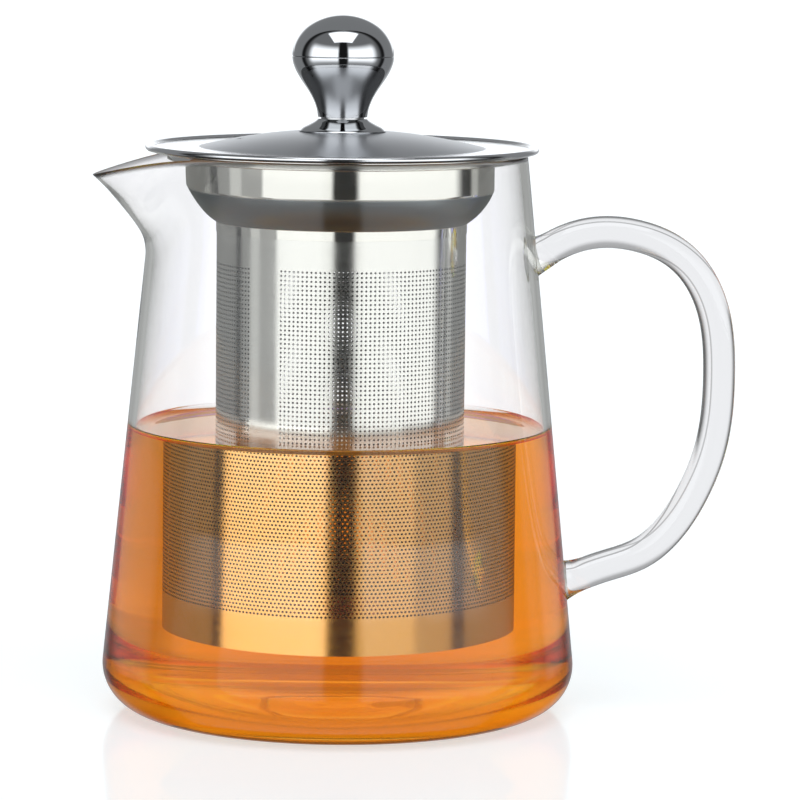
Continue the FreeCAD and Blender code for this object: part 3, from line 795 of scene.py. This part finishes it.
def lower_shell():
    # one soft sweep from the ball's seam to the slim neck, like a pear
    drop = [(5.95, -14.6), (6.17, -13.1), (6.8, -11.1), (8.2, -8.44), (9.85, -6.0), (11.42, -3.3), (12.24, 0.0), (11.42, 3.3)]
    curve = natural_spline([(r, BALL_Z + q) for r, q in drop], 240)
    curve = [tuple(p) for p in curve[curve[:, 1] <= BALL_Z + 1e-6]]
    side = curve[2:-1:3] + [(12.24, BALL_Z)]
    outer = [(5.45, 144.24), (5.95, 144.24)] + side
    rad = [0.1, 0.16] + [0] * (len(side) - 1) + [0.2]
    inner = [(r - 0.55, z) for r, z in side[::-1][:-1]]
    return lathe(eased(outer + inner, rad + [0] * len(inner), 4), around(192))


dress(add_piece("knob_ball_lower", *lower_shell(), "lid", ["knob_lower_shell"], "mirror_steel", sharp=45), MIRROR)


def upper_shell():
    # shoulder arc to the crown, then the crown's larger sphere to the top
    peak, crown_r, crown_z, big = 168.74, 8.43, 166.11, 14.82
    cz = peak - big
    p = np.array([12.24, BALL_Z])
    q = np.array([crown_r, crown_z])
    mid, half = (p + q) / 2, (q - p) / 2
    nrm = np.array([half[1], -half[0]]) / np.linalg.norm(half)
    if nrm[0] > 0:
        nrm = -nrm
    cen = mid + nrm * math.sqrt(8.84**2 - half @ half)
    a0 = math.degrees(math.atan2(*(p - cen)[::-1]))
    a1 = math.degrees(math.atan2(*(q - cen)[::-1]))
    side = arc(cen[0], cen[1], 8.84, a0, a1, 20)
    b0 = math.degrees(math.atan2(crown_z - cz, crown_r))
    crown = arc(0, cz, big, b0, 90, 18)[1:-1]
    outer = side + crown + [(0.0, peak)]
    inner = [(0.0, peak - 0.6)] + arc(0, cz, big - 0.6, 90, b0, 14)[1:] + arc(cen[0], cen[1], 8.24, a1, a0, 14)[1:]
    rad = [0.2] + [0] * (len(outer) + len(inner) - 1)
    return lathe(eased(outer + inner, rad, 4), around(192))


dress(add_piece("knob_ball_upper", *upper_shell(), "lid", ["knob_upper_shell"], "mirror_steel", sharp=45), MIRROR)

for node in ("knob_boss", "lid_washer", "lid_screw"):
    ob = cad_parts[node]
    dress(ob, HARDWARE)


# ------------------------------------------------------------------ floor
def floor():
    radii = [0, 0.03, 0.06, 0.1, 0.16, 0.25, 0.4, 0.7, 1.2, 2.5, 6, 15, 40]
    seg = 96
    verts, faces = [(0, 0, -0.00012)], []
    for r in radii[1:]:
        verts += [(r * math.cos(a), r * math.sin(a), -0.00012) for a in around(seg)]
    for k in range(seg):
        faces.append((0, 1 + k, 1 + (k + 1) % seg))
    for i in range(len(radii) - 2):
        a, b = 1 + i * seg, 1 + (i + 1) * seg
        for k in range(seg):
            m = (k + 1) % seg
            faces.append((a + k, b + k, b + m, a + m))
    me = bpy.data.meshes.new("studio_floor")
    me.from_pydata(verts, [], faces)
    me.update()
    ob = bpy.data.objects.new("studio_floor", me)
    scene.collection.objects.link(ob)
    m, nt, p, out = new_material("studio_floor")
    co = add(nt, "TexCoord").outputs["Object"]
    fine = noise(nt, co, 14.0, 3.0, 0.5)
    p.inputs["Base Color"].default_value = (0.74, 0.74, 0.74, 1)
    p.inputs["Specular IOR Level"].default_value = 0.0
    p.inputs["Roughness"].default_value = 0.6
    p.inputs["Emission Color"].default_value = (1, 1, 1, 1)
    p.inputs["Emission Strength"].default_value = 0.66
    # an even, faint gloss that keeps the pot's image grey
    sheen = add(nt, "BsdfGlossy")
    sheen.inputs["Color"].default_value = (0.8, 0.97, 1.0, 1)
    nt.links.new(ranged(nt, fine, 0.3, 0.7, 0.10, 0.15, "LINEAR"), sheen.inputs["Roughness"])
    both = add(nt, "MixShader")
    both.inputs[0].default_value = 0.17
    nt.links.new(p.outputs[0], both.inputs[1])
    nt.links.new(sheen.outputs[0], both.inputs[2])
    nt.links.new(both.outputs[0], out.inputs["Surface"])
    me.materials.append(m)
    # glass and steel see the studio itself, which goes on below the horizon
    ob.visible_diffuse = ob.visible_glossy = ob.visible_transmission = False
    ob.visible_volume_scatter = ob.visible_shadow = False


floor()


# ------------------------------------------------------------------ studio light
def studio():
    world = bpy.data.worlds.new("studio")
    scene.world = world
    world.use_nodes = True
    nt = world.node_tree
    nt.nodes.clear()
    out = nt.nodes.new("ShaderNodeOutputWorld")
    sep = add(nt, "SeparateXYZ")
    nt.links.new(add(nt, "TexCoord").outputs["Generated"], sep.inputs[0])
    x, y, z = sep.outputs
    deg = 180 / math.pi
    # degrees from the camera's side towards the handle, and above the horizon
    side = math_node(nt, "MULTIPLY", math_node(nt, "ARCTAN2", x, math_node(nt, "MULTIPLY", y, -1.0)), deg)
    wide = math_node(nt, "ABSOLUTE", side)
    high = math_node(nt, "MULTIPLY", math_node(nt, "ARCSINE", z), deg)

    def window(v, a, soft_a, b, soft_b):
        return times(
            ranged(nt, v, a - soft_a, a + soft_a, 0.0, 1.0),
            ranged(nt, v, b - soft_b, b + soft_b, 1.0, 0.0),
        )

    def times(a, b):
        return math_node(nt, "MULTIPLY", a, b)

    def plus(*terms):
        total = terms[0]
        for t in terms[1:]:
            total = math_node(nt, "ADD", total, t)
        return total

    def background(value, tint):
        light = add(nt, "Background")
        colour = add(nt, "CombineColor")
        for i, k in enumerate(tint):
            nt.links.new(times(value, k), colour.inputs[i])
        nt.links.new(colour.outputs[0], light.inputs["Color"])
        return light.outputs[0]

    def pick(share, a, b):
        n = add(nt, "MixShader")
        nt.links.new(share, n.inputs[0])
        nt.links.new(a, n.inputs[1])
        nt.links.new(b, n.inputs[2])
        return n.outputs[0]

    # what open steel, the glass's own gloss and the floor see: two tall panels, one above the
    # camera, a dark slit where the camera stands, a grey room and a pale back wall
    paths = add(nt, "LightPath")
    walls = paths.outputs["Transmission Depth"]
    gloss = paths.outputs["Is Singular Ray"]  # 1 for the sharp gloss of glass, 0 for steel

    def either(on_steel, on_glass):
        return plus(times(on_steel, math_node(nt, "SUBTRACT", 1.0, gloss)), times(on_glass, gloss))

    # steel that mirrors steel sees the panels taller and the room dimmer
    twice = math_node(nt, "GREATER_THAN", paths.outputs["Glossy Depth"], 1.5)
    top = math_node(
        nt, "MAXIMUM", ranged(nt, high, 18.0, 38.0, 1.0, 0.0), times(twice, ranged(nt, high, 36.0, 46.0, 0.8, 0.0)),
    )
    # on glass the panels have dark feet, with one bright step that veils the lower half of the leaning wall
    foot = math_node(nt, "SUBTRACT", z, times(math_node(nt, "COSINE", times(side, 0.5 / deg)), 0.199))
    feet = plus(ranged(nt, foot, -0.132, -0.126, 0.12, 1.5), times(window(foot, -0.172, 0.003, -0.155, 0.0015), 1.35))
    under = times(top, either(ranged(nt, high, -26.0, -6.0, 0.18, 1.5), feet))
    panels = plus(window(side, -80.0, 9.0, -11.0, 3.0), window(side, 12.0, 3.0, 78.0, 10.0))
    # the one above is a box in the ceiling
    lift = math_node(nt, "MAXIMUM", z, 0.05)
    across = math_node(nt, "ABSOLUTE", math_node(nt, "DIVIDE", x, lift))
    ahead = math_node(nt, "DIVIDE", y, lift)
    above = times(ranged(nt, across, 0.40, 0.47, 1.0, 0.0), window(ahead, -0.90, 0.05, -0.07, 0.05))
    slit = ranged(nt, wide, 7.0, 14.0, 0.06, 1.0)
    room = times(ranged(nt, wide, 86.0, 100.0, 0.20, 0.015), ranged(nt, wide, 104.0, 110.0, 1.0, 0.0))
    room = plus(room, ranged(nt, wide, 104.0, 112.0, 0.0, 0.25))
    rear = times(ranged(nt, wide, 146.0, 164.0, 0.0, 1.0), ranged(nt, high, 6.0, 24.0, 1.0, 0.0))
    rear = times(rear, ranged(nt, high, -0.5, 2.0, 0.2, 1.0))
    # two low side walls that gleam along the pot's edges
    flank = plus(times(window(side, -152.0, 6.0, -104.0, 4.0), 0.35), times(window(side, 122.0, 4.0, 150.0, 5.0), 0.4))
    flank = times(times(flank, window(high, -7.0, 1.0, -1.8, 0.8)), gloss)
    room = times(room, either(1.0, 0.4))

    dim = ranged(nt, twice, 0.0, 1.0, 1.0, 0.35)
    open_light = plus(times(panels, under), times(plus(times(room, slit), times(above, 1.8), times(rear, 1.2), flank), dim))
    open_light = times(open_light, ranged(nt, high, -38.0, -24.0, 0.12, 1.0))

    # what shows straight through the glass: a pale room with dark strips that draw its edges
    full = math_node(nt, "GREATER_THAN", walls, 4.5)
    strip = plus(
        times(ranged(nt, side, 79.0, 87.0, 0.0, 1.0), ranged(nt, side, 124.0, 152.0, 1.0, 0.0)),
        times(ranged(nt, side, -152.0, -126.0, 0.0, 1.0), ranged(nt, side, -103.0, -99.0, 1.0, 0.0)),
        window(side, -80.0, 1.5, -76.0, 1.5),
    )
    # the filled part has softer edges and a shaded side towards the spout
    tinted = plus(
        times(times(ranged(nt, side, 84.0, 94.0, 0.0, 1.0), ranged(nt, side, 106.0, 132.0, 1.0, 0.0)), 0.6),
        times(times(ranged(nt, side, -130.0, -106.0, 0.0, 1.0), ranged(nt, side, -103.0, -99.0, 1.0, 0.0)), 0.6),
        times(window(side, 118.0, 12.0, 152.0, 6.0), 0.42),
    )
    strip = plus(times(strip, math_node(nt, "SUBTRACT", 1.0, full)), times(tinted, full))
    strip = times(strip, ranged(nt, high, -21.0, -15.0, 0.0, 1.0))
    through = math_node(nt, "SUBTRACT", 1.0, times(strip, 0.9))
    through = times(through, ranged(nt, walls, 2.4, 2.6, 0.91, 1.09))
    through = times(through, ranged(nt, high, -60.0, -42.0, 0.25, 1.0))
    through = times(through, ranged(nt, high, 10.0, 30.0, 1.0, 0.5))
    # the solid rod of the handle bends two thin dark edges of the room into lines along its length
    lines = math_node(
        nt, "MAXIMUM", times(window(side, 154.0, 1.5, 158.0, 1.5), 0.45), times(window(high, -34.0, 1.5, -30.0, 1.5), 0.55),
    )
    lines = times(lines, ranged(nt, walls, 2.4, 2.6, 1.0, 0.0))
    through = times(through, math_node(nt, "SUBTRACT", 1.0, lines))

    # what the steel inside the glass mirrors: the same panels and slit, duller sides
    left = plus(times(window(side, -61.0, 1.5, -7.0, 2.0), 1.25), times(window(side, -80.0, 2.0, -61.0, 1.5), 0.36))
    left = plus(left, times(window(side, -91.0, 2.0, -80.0, 2.0), 0.62), times(window(side, -104.0, 1.5, -91.0, 2.0), 0.26))
    right = plus(times(window(side, 12.0, 2.5, 97.0, 6.0), 1.25), times(window(side, 113.0, 2.0, 122.0, 3.0), 0.3))
    # in the tea the left panel is wide and strong and the sides are paler, above the horizon the back wall is white
    pale = plus(ranged(nt, walls, 4.4, 4.6, 0.19, 0.4), ranged(nt, high, -1.0, 3.0, 0.0, 0.8))
    filled = plus(
        times(window(side, -101.0, 2.0, -9.0, 2.5), 1.9),
        times(window(side, 14.0, 2.5, 63.0, 2.0), 1.15), times(window(side, 63.0, 2.0, 98.0, 2.5), 0.7),
    )
    mirrored = plus(times(plus(left, right), math_node(nt, "SUBTRACT", 1.0, full)), times(filled, full))
    mirrored = plus(mirrored, times(ranged(nt, wide, 109.0, 114.0, 0.0, 1.0), pale), 0.02)
    mirrored = times(mirrored, ranged(nt, high, -50.0, -36.0, 0.0, 1.0))
    mirrored = plus(mirrored, times(window(high, -74.0, 2.0, -43.0, 7.0), 0.22), ranged(nt, high, -76.0, -72.0, 0.12, 0.0))
    mirrored = times(mirrored, ranged(nt, high, 20.0, 40.0, 1.0, 0.4))

    # light that only turned inside the glass: grey in the wall's edges, warm in the filled part
    turned = plus(ranged(nt, walls, 4.4, 4.6, 0.42, 0.6), times(ranged(nt, high, -2.0, 4.0, 0.0, 0.85), full))
    turned = times(turned, ranged(nt, high, 18.0, 30.0, 1.0, 0.35))
    # long ways round in the tea lose much light, and green before red
    far = ranged(nt, walls, 10.5, 12.5, 0.0, 1.0)
    turned = plus(times(turned, math_node(nt, "SUBTRACT", 1.0, far)), times(far, 1.2))
    turned = times(turned, ranged(nt, walls, 15.0, 20.0, 1.0, 1.5))
    red = math_node(nt, "SUBTRACT", 1.0, times(far, 0.15))
    green = plus(ranged(nt, walls, 7.4, 7.6, 1.02, 0.92), times(far, 0.4), ranged(nt, walls, 15.0, 22.0, 0.0, 3.2))
    on_steel = window(walls, 3.5, 0.1, 7.5, 0.1)
    # the strainer's own gleam in the tea is champagne
    once = math_node(nt, "LESS_THAN", paths.outputs["Glossy Depth"], 1.5)
    gleam = times(times(full, on_steel), times(once, window(high, -20.0, 2.0, -10.5, 1.5)))
    blue = plus(0.985, times(gleam, 1.4))
    mirrored = plus(times(mirrored, on_steel), times(turned, math_node(nt, "SUBTRACT", 1.0, on_steel)))

    bounced = math_node(nt, "GREATER_THAN", paths.outputs["Glossy Depth"], 0.5)
    behind = pick(bounced, background(through, (0.985, 0.992, 1.02)), background(mirrored, (red, green, blue)))
    seen = pick(paths.outputs["Is Transmission Ray"], background(open_light, (0.965, 0.995, 1.03)), behind)
    plain = add(nt, "Background")
    plain.inputs["Color"].default_value = (1, 1, 1, 1)
    nt.links.new(pick(paths.outputs["Is Camera Ray"], seen, plain.outputs[0]), out.inputs["Surface"])


studio()

# ------------------------------------------------------------------ camera
cam_data = bpy.data.cameras.new("camera")
cam = bpy.data.objects.new("camera", cam_data)
scene.collection.objects.link(cam)
cam_data.sensor_width = 36.0
cam_data.lens = 4145.22 * 36.0 / 800.0
cam_data.clip_start, cam_data.clip_end = 0.05, 200.0
pitch, yaw, roll = (math.radians(a) for a in (7.1311, 0.8347, 0.6255))
fwd = Vector((math.sin(yaw) * math.cos(pitch), math.cos(yaw) * math.cos(pitch), -math.sin(pitch)))
right = Vector((math.cos(yaw), -math.sin(yaw), 0))
up = right.cross(fwd)
r2 = right * math.cos(roll) + up * math.sin(roll)
u2 = up * math.cos(roll) - right * math.sin(roll)
cam.matrix_world = Matrix((
    (r2.x, u2.x, -fwd.x, 0.0),
    (r2.y, u2.y, -fwd.y, -1.0),
    (r2.z, u2.z, -fwd.z, 0.20068),
    (0, 0, 0, 1),
))
scene.camera = cam

scene.view_settings.view_transform = "Standard"
scene.view_settings.look = "None"
c = scene.cycles
c.max_bounces, c.transmission_bounces, c.glossy_bounces, c.diffuse_bounces = 64, 64, 32, 3
c.transparent_max_bounces = 16
c.volume_bounces = 0
c.caustics_reflective = False
c.caustics_refractive = True
c.sample_clamp_indirect = 6.0
c.blur_glossy = 0.2
c.use_denoising = True
